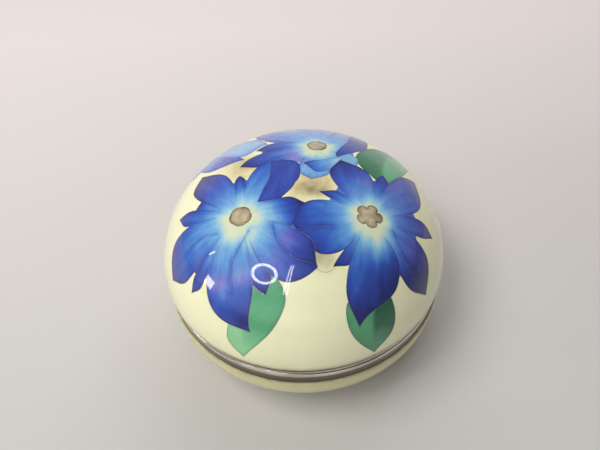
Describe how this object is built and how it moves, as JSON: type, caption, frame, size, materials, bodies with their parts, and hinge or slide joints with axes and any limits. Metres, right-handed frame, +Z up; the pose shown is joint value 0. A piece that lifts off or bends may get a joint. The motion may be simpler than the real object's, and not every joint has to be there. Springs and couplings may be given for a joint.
{
  "type": "cloisonne jar",
  "caption": "Low round covered box of enamelled copper: a domed lift-off lid inlaid with blue flowers, a shallow bowl on a foot ring, and a silver band round each rim.",
  "frame": {"origin": "on the ground, in the middle of the foot ring", "axes": "+Z up along the axis of the round box; -Y is the side that faces the viewer, with the two large flowers above it"},
  "size_m": [0.11, 0.11, 0.0748],
  "materials": {
    "enamel": "polished ivory vitreous enamel on copper, high gloss, with flowers in blue and leaves in green between thin flush wires",
    "silver": "polished silver band, slightly dulled and warm grey"
  },
  "bodies": {
    "root": {"lid": "enamel", "bowl": "enamel", "lid_band": "silver", "bowl_band": "silver"}
  },
  "joints": []
}
